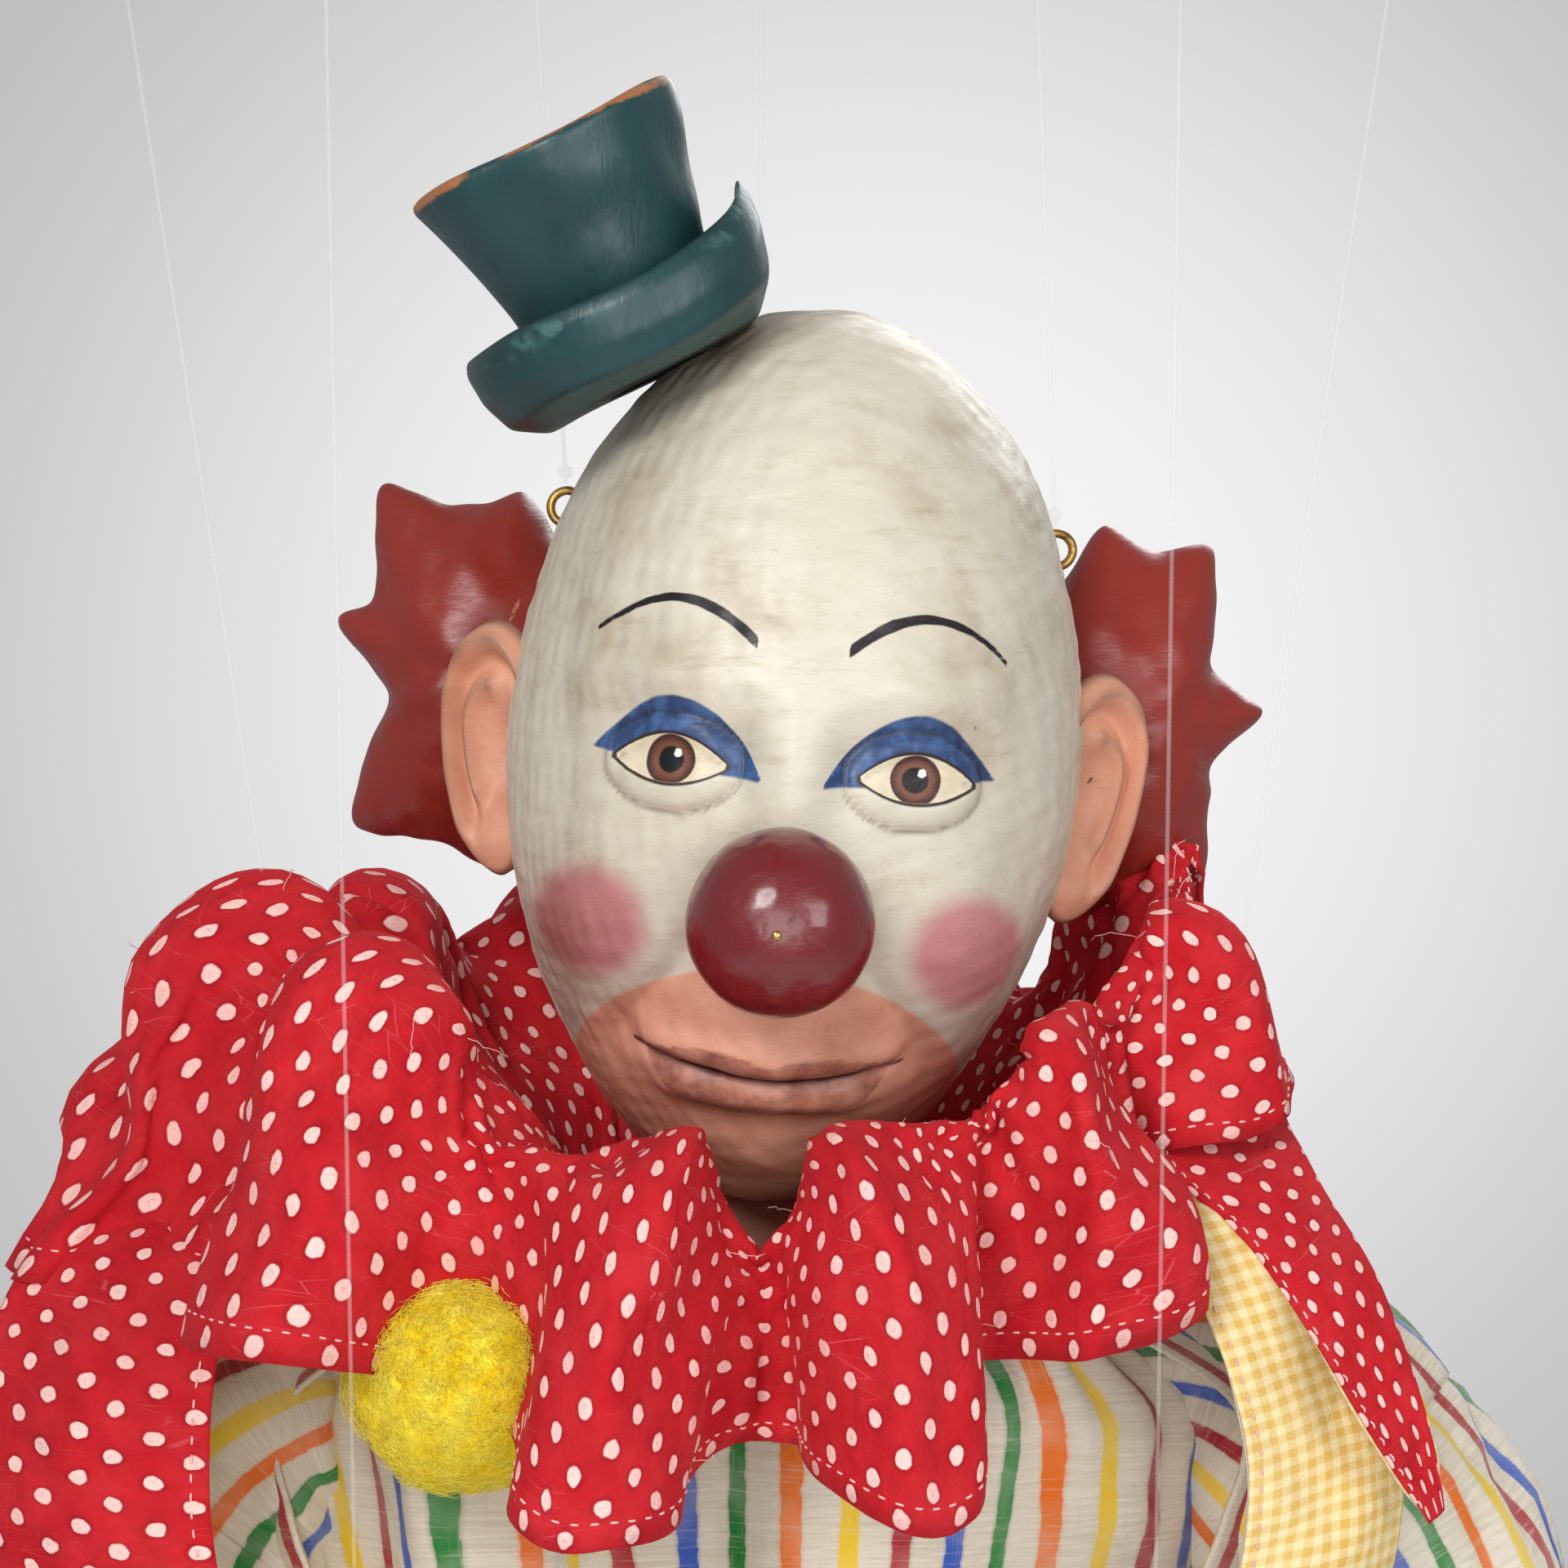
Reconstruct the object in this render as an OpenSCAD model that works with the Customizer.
// Clown marionette on a wooden crossbar control, hanging with its soles just at the floor line.
// Millimetres, +Z up. The puppet faces -Y, so its own left side is +X.
// The origin is on the floor line, midway across and along the control.

/* [Figure] */
// Height of the crown of the head above the soles
crown_z = 780; // [775:1:785]
// Height of the head from chin to crown
head_h = 156; // [154:1:157]
// Width of the head without ears or hair
head_w = 100; // [96:1:102]
// Depth of the head from brow to back
head_d = 124; // [118:1:126]
// Sideways tilt of the head
head_tilt = 5; // [3:0.5:6]
// Height of the shoulder pivots above the soles
shoulder_z = 566; // [562:1:568]
// Distance of each shoulder pivot from the middle
shoulder_x = 104; // [102:1:106]
// Length from shoulder pivot to elbow pin
upper_arm_len = 118; // [114:1:122]
// Length from elbow pin to wrist pin
forearm_len = 106; // [102:1:108]
// Angle of the hanging arms away from the body
arm_splay = 10; // [8:0.5:11]
// Height of the hip pins above the soles
hip_z = 338; // [334:1:342]
// Distance of each leg from the middle
leg_x = 48; // [47:1:49]
// Length from hip pin to knee pin
thigh_len = 148; // [144:1:152]
// Length from knee pin to ankle pin
shin_len = 140; // [136:1:144]

/* [Costume] */
// Half width of the neck ruff
ruff_half_w = 112; // [108:1:114]
// Radius of the rolled brim of the hat
brim_r = 29; // [27:0.5:30]
// Radius of the wide top of the hat's crown
hat_top_r = 25.5; // [23:0.5:26]
// Radius of the wool pompoms
pompom_r = 17; // [14:0.5:18]

/* [Control] */
// Length of the main bar
bar_len = 330; // [326:1:340]
// Height of the main bar's underside above the soles
bar_z = 950; // [945:1:960]
// Radius of the hole that the control hangs by
hang_hole_r = 4; // [3:0.5:5]
// Radius of the threads
thread_r = 0.35; // [0.25:0.05:0.4]

/* [Hidden] */
$fn = 48;

RIGHT = -1; // the puppet's own right side
LEFT = 1;

// Running fit of the hinge dowels
dowel_r = 2.5;
fit_gap = 0.05;

// Planes and heights shared by several pieces
body_y = 12;               // middle of the torso, front to back
hang_y = 24;               // turning axis of the head and plane of the head threads
shoulder_bar_y = -4;
hand_bar_y = -100;
bar_w = 22;
bar_h = 18;
bar_top = bar_z + bar_h;
cross_h = 12;              // thickness of the crossbars
cross_top = bar_top + cross_h;

// Head
head_y = 2;
chin_z = crown_z - head_h;
head_mid = [0, head_y, (crown_z + chin_z) / 2];
head_wall = 6;
skull_floor_z = 650;       // flat underside of the back shell
nod_z = 632;               // pivot of the head on the neck
temple_x = 44;
temple_z = 742;

// Torso
chest_half_w = 56;
chest_depth = 50;
chest_top = 592;
hip_half_w = 62;
hip_depth = 44;
hip_slot_w = 15;
tongue_w = 14;

// Threads' ends on the control
head_hole_x = 46;
shoulder_hole_x = 130;
back_string_y = 152;
shoulder_eye_x = 74;
back_eye = [0, 68, 470];
wrist_string_x = 148;
knee_string_x = leg_x + 16;
leg_bar_w = 26;
leg_bar_y = -bar_len / 2 + leg_bar_w / 2;
leg_slot_len = 21;
eye_r = 3;                 // ring radius of a screw eye
wrist_eye_r = 5.2;         // ring radius of the wider eyes at the wrists
eye_wire = 0.8;
screw_r = 1.45;
thread_hole_r = 1.6;
back_hole_r = 2.2;         // the back thread leans further, so its hole is wider
knot_r = 2.5;
thread_tail = 3;           // cut end of a thread above its knot

// Rotates a point about the Y axis through the neck pivot, as the head is tilted
function tilted(p) = [
    p.x * cos(head_tilt) + (p.z - nod_z) * sin(head_tilt),
    p.y,
    nod_z - p.x * sin(head_tilt) + (p.z - nod_z) * cos(head_tilt)
];

function mix(a, b, t) = a + (b - a) * t;

function arm_dir(side) = [side * sin(arm_splay), 0, -cos(arm_splay)];
function shoulder_at(side) = [side * shoulder_x, body_y, shoulder_z];
function elbow_at(side) = shoulder_at(side) + arm_dir(side) * upper_arm_len;
function wrist_at(side) = elbow_at(side) + arm_dir(side) * forearm_len;
function wrist_eye_at(side) = [side * wrist_string_x, wrist_at(side).y - 28, wrist_at(side).z + 6];
function knee_eye_at(side) = [side * knee_string_x, body_y - 43, hip_z - thigh_len + 22];
function shoulder_eye_at(side) = [side * shoulder_eye_x, shoulder_bar_y, chest_top + 4];
function temple_at(side) = tilted([side * temple_x, hang_y, temple_z]);

// ---------- shared shapes ----------

// Bar with rounded vertical edges, centred in X and Y and standing on z = 0
module rounded_bar(size, r) {
    for (sx = [-1, 1], sy = [-1, 1])
        translate([sx * (size.x / 2 - r), sy * (size.y / 2 - r), 0]) cylinder(r = r, h = size.z);
    translate([r - size.x / 2, -size.y / 2, 0]) cube([size.x - 2 * r, size.y, size.z]);
    translate([-size.x / 2, r - size.y / 2, 0]) cube([size.x, size.y - 2 * r, size.z]);
}

// Turns children from +Z to the direction v
module aim(v) {
    rotate([0, acos(v.z / norm(v)), atan2(v.y, v.x)]) children();
}

// Round rod from a to b
module rod(a, b, r) {
    translate(a) aim(b - a) cylinder(r = r, h = norm(b - a));
}

// Rod centred on the origin along X
module pin_x(r, h) {
    rotate([0, 90, 0]) cylinder(r = r, h = h, center = true);
}

// Ring in the XZ plane
module ring(r, wire) {
    rotate([90, 0, 0]) rotate_extrude() translate([r, 0]) circle(r = wire, $fn = 24);
}

// Screw eye: ring of radius r at the origin and a shank of the given length along -Z
module screw_eye(shank, r = eye_r) {
    ring(r, eye_wire);
    translate([0, 0, -r - shank]) cylinder(r = eye_wire, h = shank);
}

// Screw eye with its ring at eye and its shank running to root
module screw_eye_from(root, eye, r = eye_r) {
    translate(eye) aim(eye - root) screw_eye(norm(eye - root) - r, r);
}

// Thread from just outside the ring of an eye at a to b, with a small knot near its start and, if top_knot
// is true, a larger one at b above which a short tail is left
module thread(a, b, r = eye_r, top_knot = false) {
    v = towards(a, b);
    start = a + v * (r + eye_wire + 0.5);
    h = norm(b - start);
    knots = concat([[2.1, 1.3]], top_knot ? [[h, knot_r]] : []);
    tail = top_knot ? knot_r + thread_tail : 0;
    translate(start) aim(v) rotate_extrude() polygon(concat(
        [[0, 0], [thread_r, 0]],
        [for (k = knots) each [
            [thread_r, k[0] - k[1]], [k[1], k[0] - k[1] / 2], [k[1], k[0] + k[1] / 2], [thread_r, k[0] + k[1]]
        ]],
        [[thread_r, h + tail], [0, h + tail]]
    ));
}

// Unit vector from a to b
function towards(a, b) = (b - a) / norm(b - a);

// Centre of a knot that rests just above a hole, on the line from an eye through the middle of the hole
function knot_above(eye, hole, half_h) =
    hole + (hole - eye) * (half_h + knot_r + 0.1) / (hole.z - eye.z);

// Closed skin over rings of points that wrap both around each ring and from the last ring to the first
module wrap(rings) {
    m = len(rings);
    n = len(rings[0]);
    at = function(k, i) (k % m) * n + i % n;
    polyhedron(
        points = [for (r = rings) each r],
        faces = [for (k = [0:m - 1], i = [0:n - 1]) each [
            [at(k, i), at(k + 1, i), at(k, i + 1)],
            [at(k + 1, i), at(k + 1, i + 1), at(k, i + 1)]
        ]],
        convexity = 6
    );
}

// Closed skin over rings of points, with a single point capping each end
module capped(first, rings, last) {
    m = len(rings);
    n = len(rings[0]);
    at = function(k, i) 1 + k * n + i % n;
    end = 1 + m * n;
    polyhedron(
        points = [first, for (r = rings) each r, last],
        faces = [
            for (i = [0:n - 1]) [0, at(0, i), at(0, i + 1)],
            for (k = [0:m - 2], i = [0:n - 1]) each [
                [at(k, i), at(k + 1, i), at(k, i + 1)],
                [at(k + 1, i), at(k + 1, i + 1), at(k, i + 1)]
            ],
            for (i = [0:n - 1]) [end, at(m - 1, i + 1), at(m - 1, i)]
        ],
        convexity = 6
    );
}

// ---------- control ----------

module main_bar() {
    color("burlywood") difference() {
        translate([0, 0, bar_z]) rounded_bar([bar_w, bar_len, bar_h], 6);
        translate([0, hang_y, bar_z - 1]) cylinder(r = dowel_r + fit_gap, h = bar_h + 2);
        translate([0, 8, bar_z + bar_h / 2]) pin_x(hang_hole_r, bar_w + 2);
        for (y = [shoulder_bar_y, hand_bar_y, leg_bar_y])
            translate([0, y, bar_z - 1]) cylinder(r = screw_r + fit_gap, h = bar_h + 2);
        translate([0, back_string_y, bar_z - 1]) cylinder(r = back_hole_r, h = bar_h + 2);
    }
}

// Crossbar on top of the main bar, with a thread hole near each end where hole_x is more than 0
module crossbar(y, half_len, w, h, hole_x) {
    color("burlywood") difference() {
        translate([0, y, bar_top]) rounded_bar([2 * half_len, w, h], 4);
        translate([0, y, bar_top - 1]) cylinder(r = screw_r + fit_gap, h = h + 2);
        if (hole_x > 0)
            for (side = [RIGHT, LEFT])
                translate([side * hole_x, y, bar_top - 1]) cylinder(r = thread_hole_r, h = h + 2);
    }
}

module shoulder_bar() crossbar(shoulder_bar_y, shoulder_hole_x + 8, 16, cross_h, shoulder_hole_x);

module hand_bar() crossbar(hand_bar_y, wrist_string_x - 10, 14, cross_h, 0);

// Its long slots let the knee threads lean as a knee is lifted
module leg_bar() {
    difference() {
        crossbar(leg_bar_y, knee_string_x + 12, leg_bar_w, cross_h, 0);
        for (side = [RIGHT, LEFT])
            translate([side * knee_string_x - 2, leg_bar_y - leg_slot_len / 2, bar_top - 1])
                cube([4, leg_slot_len, cross_h + 2]);
    }
}

// Round-headed screws that hold the three crossbars down
module bar_screws() {
    color("gold") for (y = [shoulder_bar_y, hand_bar_y, leg_bar_y]) translate([0, y, 0]) {
        translate([0, 0, bar_z + 4]) cylinder(r = screw_r, h = cross_top - bar_z - 4);
        translate([0, 0, cross_top]) cylinder(r1 = 4, r2 = 2.5, h = 2);
    }
}

head_bar_h = 10;
head_bar_z = bar_z - 2 - head_bar_h;

module head_bar() {
    color("burlywood") difference() {
        translate([0, hang_y, head_bar_z]) rounded_bar([2 * head_hole_x + 16, 16, head_bar_h], 4);
        translate([0, hang_y, head_bar_z - 1]) cylinder(r = dowel_r, h = head_bar_h + 2);
        for (side = [RIGHT, LEFT])
            translate([side * head_hole_x, hang_y, head_bar_z - 1]) cylinder(r = thread_hole_r, h = head_bar_h + 2);
    }
}

// Bolt on which the head bar turns, with a washer between the bars and a nut on top
module head_bar_bolt() {
    color("gold") translate([0, hang_y, 0]) {
        translate([0, 0, head_bar_z - 3.5]) cylinder(r = 5, h = 3.5, $fn = 6);
        translate([0, 0, head_bar_z - 1]) cylinder(r = dowel_r, h = bar_top - head_bar_z + 6);
        translate([0, 0, bar_z - 2]) cylinder(r = 5, h = 1.8);
        translate([0, 0, bar_top + 0.3]) cylinder(r = 5, h = 4, $fn = 6);
    }
}

// ---------- threads ----------

// From a temple eye up through the head bar to a knot on top of it
module head_string(side) {
    hole = [side * head_hole_x, hang_y, head_bar_z + head_bar_h / 2];
    top = hole + towards(temple_at(side), hole) * (head_bar_h / 2 + knot_r + 0.4);
    color("ivory") thread(temple_at(side), top, top_knot = true);
}

// Two shoulder threads and the back thread, each knotted above its bar
module body_strings() {
    color("ivory") {
        for (side = [RIGHT, LEFT]) {
            hole = [side * shoulder_hole_x, shoulder_bar_y, bar_top + cross_h / 2];
            knot = knot_above(shoulder_eye_at(side), hole, cross_h / 2);
            thread(shoulder_eye_at(side), knot, top_knot = true);
        }
        back_hole = [0, back_string_y, bar_z + bar_h / 2];
        back_knot = knot_above(back_eye, back_hole, bar_h / 2);
        thread(back_eye, back_knot, top_knot = true);
    }
}

// From the swivel at the wrist up past the end of the hand bar to a finger ring that rests on it
module hand_string(side) {
    ring_r = 12;
    top = [side * wrist_string_x, hand_bar_y, cross_top + 4.5];
    color("ivory") {
        thread(wrist_eye_at(side), top, wrist_eye_r);
        translate(top - [side * ring_r, 0, 0]) rotate_extrude() translate([ring_r, 0]) circle(r = 2);
    }
}

// From the eye above the knee up through the slot of the leg bar to a wooden bead
module knee_string(side) {
    slot = [side * knee_string_x, leg_bar_y, bar_top + cross_h / 2];
    bead = slot + towards(knee_eye_at(side), slot) * 20;
    color("ivory") {
        thread(knee_eye_at(side), bead);
        translate(bead) sphere(r = 6);
    }
}

// ---------- head ----------

// Point of the egg-shaped head in the direction given by two angles, shrunk inwards by inset.
// out runs from 0 at the face or the back of the head to 90 at the seam.
function egg(side, out, round, inset, floor_z) =
    let (
        d = [sin(out) * cos(round), side * cos(out), sin(out) * sin(round)],
        jaw = 1 - 0.14 * pow(max(-d.z, 0), 1.5),
        p = head_mid + [
            d.x * (head_w / 2 - inset) * jaw,
            d.y * (head_d / 2 - inset) * jaw,
            d.z * (head_h / 2 - inset)
        ]
    )
    [p.x, p.y, max(p.z, floor_z)];

// Half of the hollow head, on the side of the face (-1) or of the back (+1)
module half_head(side, seam, floor_z) {
    steps = [10, 22, 34, 46, 58, 69, 80, 90];
    turns = 32;
    outer = [for (o = steps) [for (i = [0:turns - 1])
        egg(side, o, -side * 360 * i / turns, 0, floor_z) + [0, side * seam, 0]]];
    inner = [for (k = [len(steps) - 1:-1:0]) [for (i = [0:turns - 1])
        egg(side, steps[k], -side * 360 * i / turns, head_wall, floor_z + head_wall)
            + [0, side * seam, 0]]];
    capped(
        egg(side, 0, 0, 0, floor_z) + [0, side * seam, 0],
        concat(outer, inner),
        egg(side, 0, 0, head_wall, floor_z + head_wall) + [0, side * seam, 0]
    );
}

module tilt_head() {
    translate([0, 0, nod_z]) rotate([0, head_tilt, 0]) translate([0, 0, -nod_z]) children();
}

module head_front() color("ivory") tilt_head() half_head(-1, 0.1, chin_z);

module head_back() color("ivory") tilt_head() half_head(1, 0.1, skull_floor_z);

nose_r = 15.5;

// Red ball on a short peg let into the face, a quarter of the way up from the chin line to the brow
module nose() {
    color("firebrick") tilt_head() translate([0, head_y - head_d / 2 - 8, chin_z + 54]) {
        sphere(r = nose_r);
        rotate([-90, 0, 0]) cylinder(r = 4, h = nose_r + 4);
    }
}

module ears() {
    color("peachpuff") tilt_head() for (side = [RIGHT, LEFT])
        translate([side * 53, head_y + 6, head_mid.z - 8]) rotate([0, side * 8, 0]) hull() {
            translate([0, 0, 10]) scale([1, 1.9, 2]) sphere(r = 6, $fn = 20);
            translate([-side * 2, -2, -14]) scale([0.8, 1.1, 1.2]) sphere(r = 6, $fn = 20);
        }
}

// Carved tuft of hair behind each ear, with pointed locks that stand out from the head
module hair() {
    turns = 40;
    half = [21, 15, 32];
    spike = function(a) 1 + 0.32 * pow(max(cos(5 * a), 0), 2) * max(cos(a), 0) - 0.1 * cos(5 * a);
    color("darkred") tilt_head() for (side = [RIGHT, LEFT])
        translate([side * 57, hang_y + 7, head_mid.z + 4]) capped(
            [0, -side * half.y, 0],
            [for (out = [15:15:165]) [for (i = [0:turns - 1]) let (a = 360 * i / turns) [
                side * half.x * sin(out) * cos(a) * spike(a),
                -side * half.y * cos(out),
                half.z * sin(out) * sin(a) * spike(a)
            ]]],
            [0, side * half.y, 0]
        );
}

hat_at = [-21, -16, 776];
hat_lean = -27;

// Flared crown, hollow, with a flat top
module hat_crown() {
    color("darkslategray") translate(hat_at) rotate([0, hat_lean, 0]) rotate_extrude()
        polygon([
            [17, 1], [18, 10], [20.5, 20], [hat_top_r, 35], [0, 35],
            [0, 32], [22, 32], [17.5, 20], [15, 10], [14, 1]
        ]);
}

// Saucer brim whose rim is rolled up
module hat_brim() {
    color("darkslategray") translate(hat_at) rotate([0, hat_lean, 0]) rotate_extrude()
        polygon([
            [8, 0.8], [18, 0.8], [brim_r - 5, 3], [brim_r - 1.5, 9], [brim_r, 8],
            [brim_r - 1, 3], [brim_r - 4, -1.5], [18, -3], [8, -3]
        ]);
}

module temple_eyes() {
    color("gold") for (side = [RIGHT, LEFT])
        translate(temple_at(side)) rotate([0, side * 62, 0]) screw_eye(9);
}

module head_dowel() {
    color("burlywood") tilt_head() translate([0, hang_y, 672]) pin_x(4, 72);
}

// Cord that ties the dowel in the head down into the hollow top of the neck
module neck_cord() {
    color("wheat") tilt_head() {
        translate([0, hang_y, 672]) rotate([0, 0, 90]) ring(5.6, 1.2);
        translate([0, hang_y, nod_z]) cylinder(r = 1.5, h = 33.5);
    }
}

neck_r = 13;

module neck_post() {
    color("antiquewhite") translate([0, hang_y, 0]) difference() {
        union() {
            translate([0, 0, chest_top]) cylinder(r = neck_r, h = nod_z - chest_top);
            translate([0, 0, nod_z]) sphere(r = neck_r);
            translate([0, 0, chest_top - 20]) cylinder(r = 8 - fit_gap, h = 21);
        }
        translate([0, 0, nod_z - 2]) cylinder(r1 = 2.5, r2 = 7, h = 18);
    }
}

// ---------- body ----------

// One carved block: chest, waist, and hips with a slot and a cross bore for each leg
module torso() {
    color("burlywood") difference() {
        union() {
            translate([0, body_y, 480])
                rounded_bar([2 * chest_half_w, chest_depth, chest_top - 480], 20);
            translate([0, body_y, 390]) rounded_bar([96, hip_depth, 94], 14);
            translate([0, body_y, hip_z - 12]) rounded_bar([2 * hip_half_w, hip_depth, 66], 20);
            for (side = [RIGHT, LEFT])
                translate([side * 66, shoulder_bar_y + 8, chest_top - 12]) rounded_bar([26, 30, 12], 5);
        }
        translate([0, hang_y, chest_top - 21]) cylinder(r = 8, h = 30);
        for (side = [RIGHT, LEFT]) {
            translate([side * (chest_half_w - 30), body_y, shoulder_z]) rotate([0, side * 90, 0])
                cylinder(r = 4 + fit_gap, h = 40);
            translate([side * leg_x - hip_slot_w / 2, body_y - 30, hip_z - 20])
                cube([hip_slot_w, 60, 36]);
            translate([side * leg_x, body_y, hip_z]) pin_x(dowel_r + fit_gap, 34);
        }
    }
}

// Screw eyes in the shoulders and in the small of the back
module body_eyes() {
    color("gold") {
        for (side = [RIGHT, LEFT])
            translate(shoulder_eye_at(side)) screw_eye(9);
        translate(back_eye) rotate([-90, 0, 0]) screw_eye(36);
    }
}

// Dowel that turns in the chest, with a flat tongue at its outer end
module shoulder_pivot(side) {
    color("burlywood") translate(shoulder_at(side)) difference() {
        union() {
            translate([-side * 71, 0, 0]) rotate([0, side * 90, 0]) cylinder(r = 4, h = 64);
            rotate([90, 0, 0]) cylinder(r = 9, h = 9, center = true);
        }
        rotate([90, 0, 0]) cylinder(r = dowel_r + fit_gap, h = 12, center = true);
    }
}

// Two cheeks below a limb's end, bored for the dowel of the next limb; the pivot is at the origin
module fork(gap, up) {
    for (side = [-1, 1]) difference() {
        union() {
            translate([side * (gap / 2 + 3), 0, 0]) pin_x(9, 6);
            translate([side * (gap / 2 + 3) - 3, -9, 0]) cube([6, 18, up + 1]);
        }
        pin_x(dowel_r + fit_gap, 60);
    }
}

// Flat tongue with its dowel glued through it, reaching down to the limb; the pivot is at the origin
module tongue(w, dowel_len, down) {
    pin_x(9, w);
    translate([-w / 2, -9, -down - 1]) cube([w, 18, down + 1]);
    pin_x(dowel_r, dowel_len);
}

limb_gap = 20; // from a hinge pin to the round part of a limb

// Hangs children, drawn along -Z from a pivot, at the splay of the arm
module along_arm(at, side) translate(at) rotate([0, -side * arm_splay, 0]) children();

module upper_arm(side) {
    color("burlywood") along_arm(shoulder_at(side), side) {
        for (s = [-1, 1]) {
            translate([0, s * 8.5, 0]) rotate([90, 0, 0]) cylinder(r = 9, h = 6, center = true);
            translate([-9, s * 8.5 - 3, -limb_gap - 1]) cube([18, 6, limb_gap + 1]);
        }
        rotate([90, 0, 0]) cylinder(r = dowel_r, h = 23, center = true);
        translate([0, 0, limb_gap - upper_arm_len])
            cylinder(r1 = 12, r2 = 13, h = upper_arm_len - 2 * limb_gap);
        translate([0, 0, -upper_arm_len]) fork(10, limb_gap);
    }
}

module forearm(side) {
    color("burlywood") {
        along_arm(elbow_at(side), side) {
            tongue(9, 22, limb_gap);
            translate([0, 0, limb_gap - forearm_len])
                cylinder(r1 = 10.5, r2 = 12, h = forearm_len - 2 * limb_gap);
            translate([0, 0, -forearm_len]) fork(10, limb_gap);
        }
        screw_eye_from(wrist_at(side) - arm_dir(side) * 27, wrist_eye_at(side), wrist_eye_r);
    }
}

// Carved hand: a palm, four fingers and a thumb that points forwards
module hand(side) {
    color("peachpuff") along_arm(wrist_at(side), side) {
        tongue(9, 22, 16);
        translate([0, 0, -16]) hull() {
            translate([0, 0, -2]) scale([0.8, 1, 0.5]) sphere(r = 12, $fn = 24);
            translate([0, 0, -26]) scale([0.62, 1.3, 0.8]) sphere(r = 12, $fn = 24);
        }
        for (f = [-1.5:1:1.5])
            rod([0, f * 7, -40], [-side * 5, f * 8, -66 + abs(f + 0.4) * 5], 3.8);
        rod([0, -8, -28], [-side * 4, -22, -44], 4.2);
    }
}

module wrist_bead(side) color("gold") translate(wrist_eye_at(side)) sphere(r = 2, $fn = 24);

module wrist_ring(side) color("gold") translate(wrist_eye_at(side)) ring(3.1, 0.6);

module thigh(side) {
    color("burlywood") {
        translate([side * leg_x, body_y, hip_z]) {
            tongue(tongue_w, 32, 27);
            translate([0, 0, limb_gap - thigh_len]) cylinder(r1 = 16, r2 = 19, h = thigh_len - limb_gap - 27);
            translate([0, 0, -thigh_len]) fork(14, limb_gap);
        }
        screw_eye_from([side * (leg_x + 4), body_y, knee_eye_at(side).z], knee_eye_at(side));
    }
}

module shin(side) {
    color("burlywood") translate([side * leg_x, body_y, hip_z - thigh_len]) {
        tongue(13, 26, limb_gap);
        translate([0, 0, limb_gap - shin_len]) cylinder(r1 = 12, r2 = 16, h = shin_len - 2 * limb_gap);
        translate([0, 0, -shin_len]) fork(13, limb_gap);
    }
}

// Long clown shoe with a bulbous toe and a flat sole
module shoe(side) {
    color("maroon") translate([side * leg_x, body_y, hip_z - thigh_len - shin_len]) {
        tongue(12, 26, 14);
        intersection() {
            hull() {
                translate([0, 6, -28]) sphere(r = 17, $fn = 32);
                translate([0, -72, -31]) sphere(r = 24, $fn = 32);
                translate([0, 10, -46]) cylinder(r = 19, h = 4, $fn = 32);
                translate([0, -72, -46]) cylinder(r = 26, h = 4, $fn = 32);
            }
            translate([-60, -120, thigh_len + shin_len - hip_z]) cube([120, 180, 60]);
        }
    }
}

// ---------- costume ----------

// Ruff: an open collar that stands up at the sides and back and drops in front
module ruff() {
    turns = 60;
    steps = 6;
    thick = 5;
    inner_r = 42;
    pleats = 11;
    droop = function(a) pow(max(-sin(a), 0), 2);
    half = function(a) mix(ruff_half_w, sin(a) < 0 ? 88 : 92, abs(sin(a)));
    top = function(a, s) let (
        r = mix(inner_r, half(a), s),
        z = mix(606, mix(668, 590, droop(a)), pow(s, 1.15)) + 6 * s * sin(pleats * a)
    ) [r * cos(a), body_y - 6 + r * sin(a), z];
    color("firebrick") wrap(concat(
        [for (k = [0:steps]) [for (i = [0:turns - 1]) top(360 * i / turns, k / steps)]],
        [for (k = [steps:-1:0]) [for (i = [0:turns - 1])
            top(360 * i / turns, k / steps) - [0, 0, thick]]]
    ));
}

// Oval tube around the body whose top edge dips at the sides, where the arms pass
module body_tube(low, low_half, high_half, side_z, front_z, wall) {
    turns = 40;
    levels = 4;
    edge = function(a) mix(side_z, front_z, pow(abs(sin(a)), 1.5));
    skin = function(a, t, inset) let (
        half = mix(low_half, high_half, t)
    ) [(half.x - inset) * cos(a), body_y + (half.y - inset) * sin(a), mix(low, edge(a), t)];
    wrap(concat(
        [for (k = [0:levels]) [for (i = [0:turns - 1]) skin(360 * i / turns, k / levels, 0)]],
        [for (k = [levels:-1:0]) [for (i = [0:turns - 1]) skin(360 * i / turns, k / levels, wall)]]
    ));
}

module shirt() color("beige") body_tube(402, [70, 39], [69, 39], 544, 588, 3);

module coat() color("antiquewhite") body_tube(394, [78, 50], [75, 46], 540, 584, 5);

// Wide turned-back lapels lying against the front of the coat
module lapels() {
    color("firebrick") for (side = [RIGHT, LEFT])
        translate([side * 46, body_y - 50, 0]) rotate([90, 0, -side * 22]) hull()
            for (p = [[-18, 588], [16, 578], [12, 540], [-14, 440]])
                translate([p[0] * side, p[1], 0]) cylinder(r = 4, h = 4, $fn = 24);
}

// Wool pompoms: one under the edge of the ruff on the right breast, two down the front
module pompoms() {
    color("gold") {
        translate([-46, body_y - 71, 600]) sphere(r = pompom_r);
        translate([0, body_y - 70, 528]) sphere(r = pompom_r);
        translate([0, body_y - 70, 452]) sphere(r = pompom_r);
    }
}

module trouser_seat() color("beige") body_tube(360, [76, 36], [72, 36], 391, 391, 4);

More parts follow.
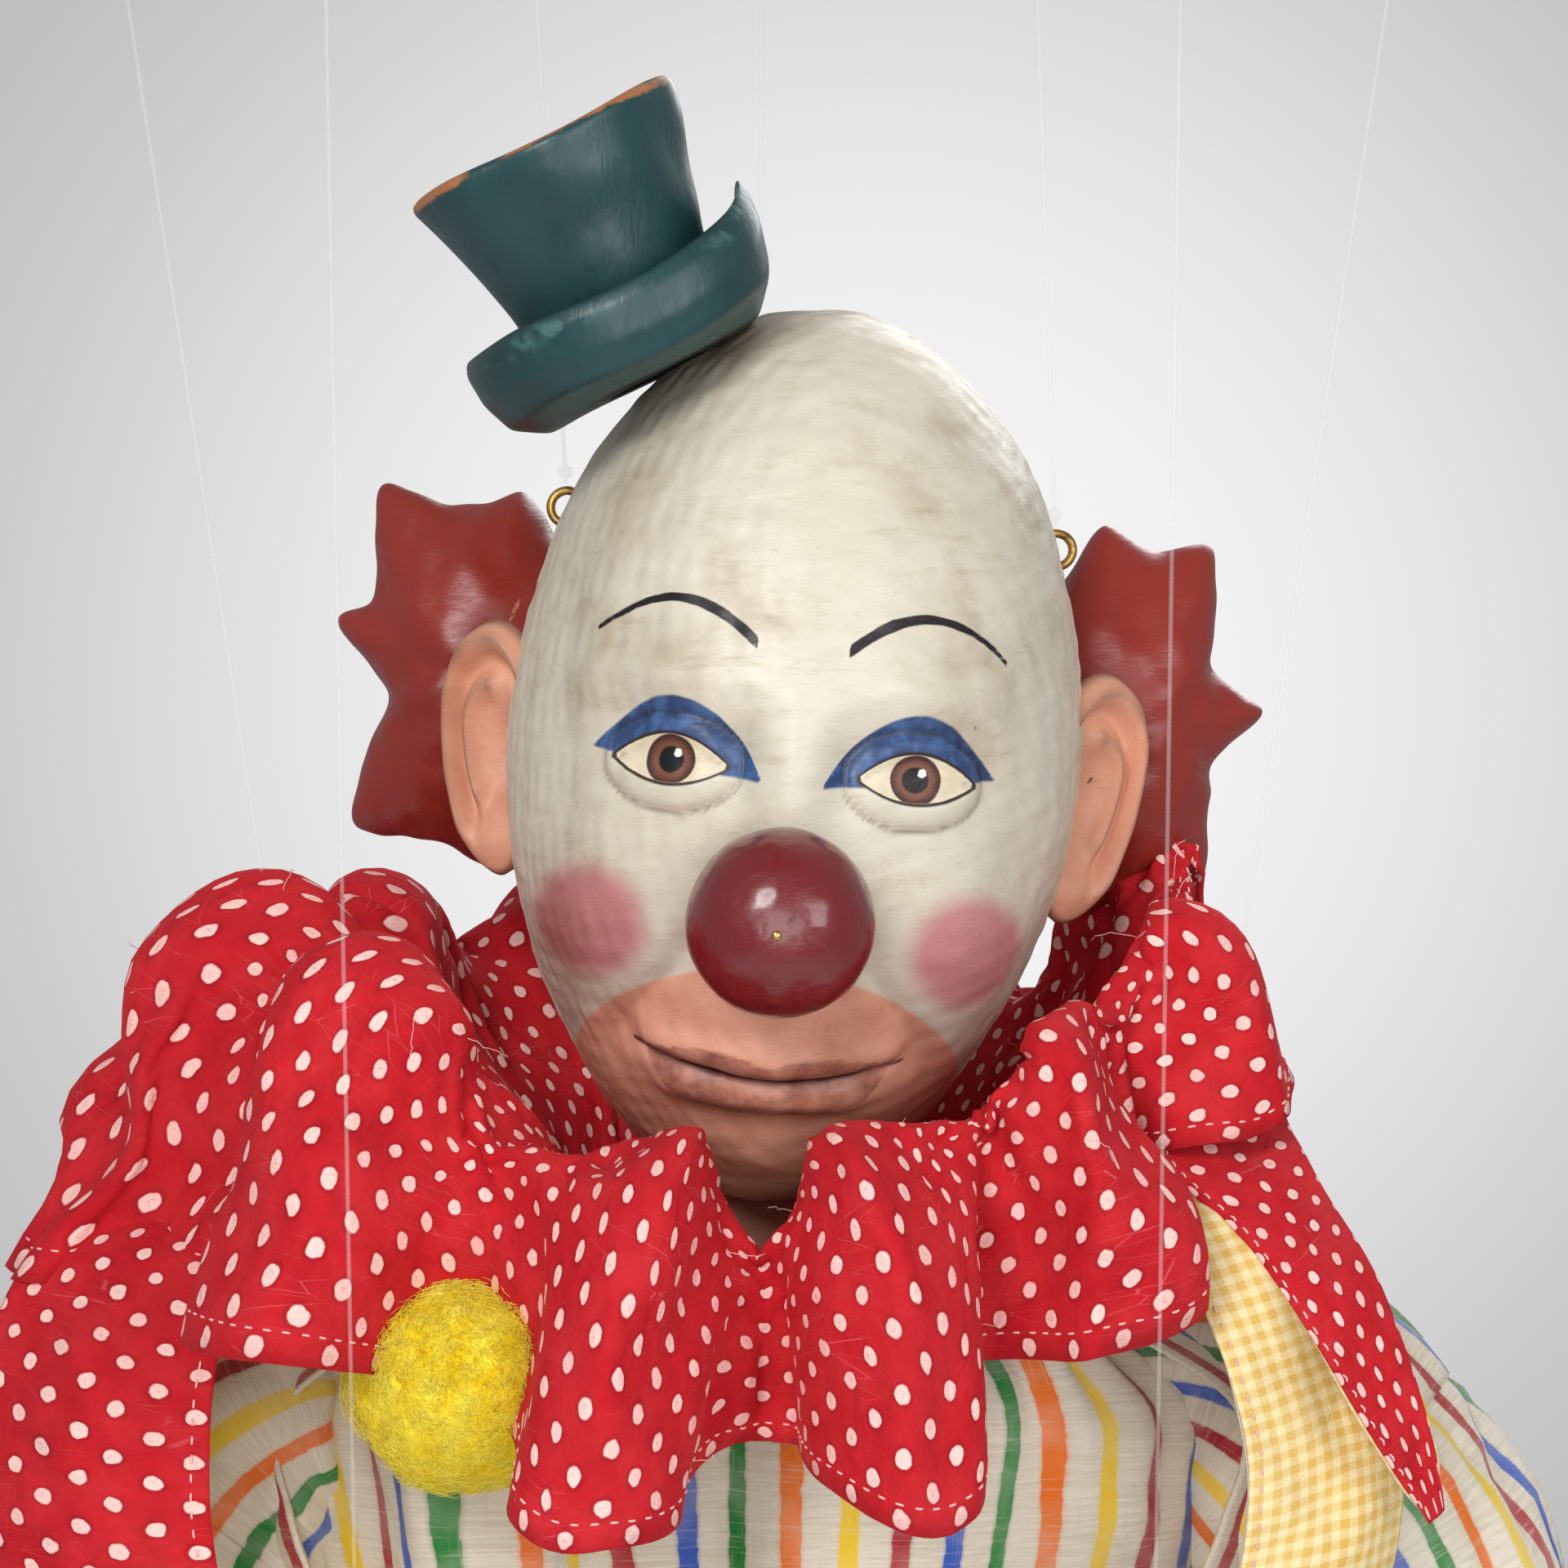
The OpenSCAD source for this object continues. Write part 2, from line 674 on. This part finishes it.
// Padded tube along -Z, with inner radius r_in
module soft_tube(from, to, r_top, r_bottom, r_in) {
    rotate_extrude() polygon([
        [r_in, -from], [r_top, -from], [r_bottom, -to], [r_in, -to]
    ]);
}

module upper_sleeve(side) {
    color("beige") along_arm(shoulder_at(side), side) soft_tube(6, 86, 28, 30, 24);
}

module lower_sleeve(side) {
    color("beige") along_arm(elbow_at(side), side) soft_tube(24, 92, 25, 24, 19);
}

module trouser_thigh(side) {
    color("beige") translate([side * leg_x, body_y, hip_z]) soft_tube(32, 118, 34, 36, 29);
}

module trouser_shin(side) {
    color("beige") translate([side * leg_x, body_y, hip_z - thigh_len]) soft_tube(20, 112, 31, 30, 25);
}

main_bar();
shoulder_bar();
hand_bar();
leg_bar();
bar_screws();
head_bar();
head_bar_bolt();
head_string(RIGHT);  // head_string_r
head_string(LEFT);  // head_string_l
body_strings();
hand_string(RIGHT);  // hand_string_r
hand_string(LEFT);  // hand_string_l
knee_string(RIGHT);  // knee_string_r
knee_string(LEFT);  // knee_string_l
head_front();
head_back();
nose();
ears();
hair();
hat_crown();
hat_brim();
temple_eyes();
head_dowel();
neck_cord();
neck_post();
torso();
body_eyes();
shoulder_pivot(RIGHT);  // shoulder_pivot_r
shoulder_pivot(LEFT);  // shoulder_pivot_l
upper_arm(RIGHT);  // upper_arm_r
upper_arm(LEFT);  // upper_arm_l
forearm(RIGHT);  // forearm_r
forearm(LEFT);  // forearm_l
hand(RIGHT);  // hand_r
hand(LEFT);  // hand_l
wrist_bead(RIGHT);  // wrist_bead_r
wrist_bead(LEFT);  // wrist_bead_l
wrist_ring(RIGHT);  // wrist_ring_r
wrist_ring(LEFT);  // wrist_ring_l
thigh(RIGHT);  // thigh_r
thigh(LEFT);  // thigh_l
shin(RIGHT);  // shin_r
shin(LEFT);  // shin_l
shoe(RIGHT);  // shoe_r
shoe(LEFT);  // shoe_l
ruff();
shirt();
coat();
lapels();
pompoms();
trouser_seat();
upper_sleeve(RIGHT);  // upper_sleeve_r
upper_sleeve(LEFT);  // upper_sleeve_l
lower_sleeve(RIGHT);  // lower_sleeve_r
lower_sleeve(LEFT);  // lower_sleeve_l
trouser_thigh(RIGHT);  // trouser_thigh_r
trouser_thigh(LEFT);  // trouser_thigh_l
trouser_shin(RIGHT);  // trouser_shin_r
trouser_shin(LEFT);  // trouser_shin_l
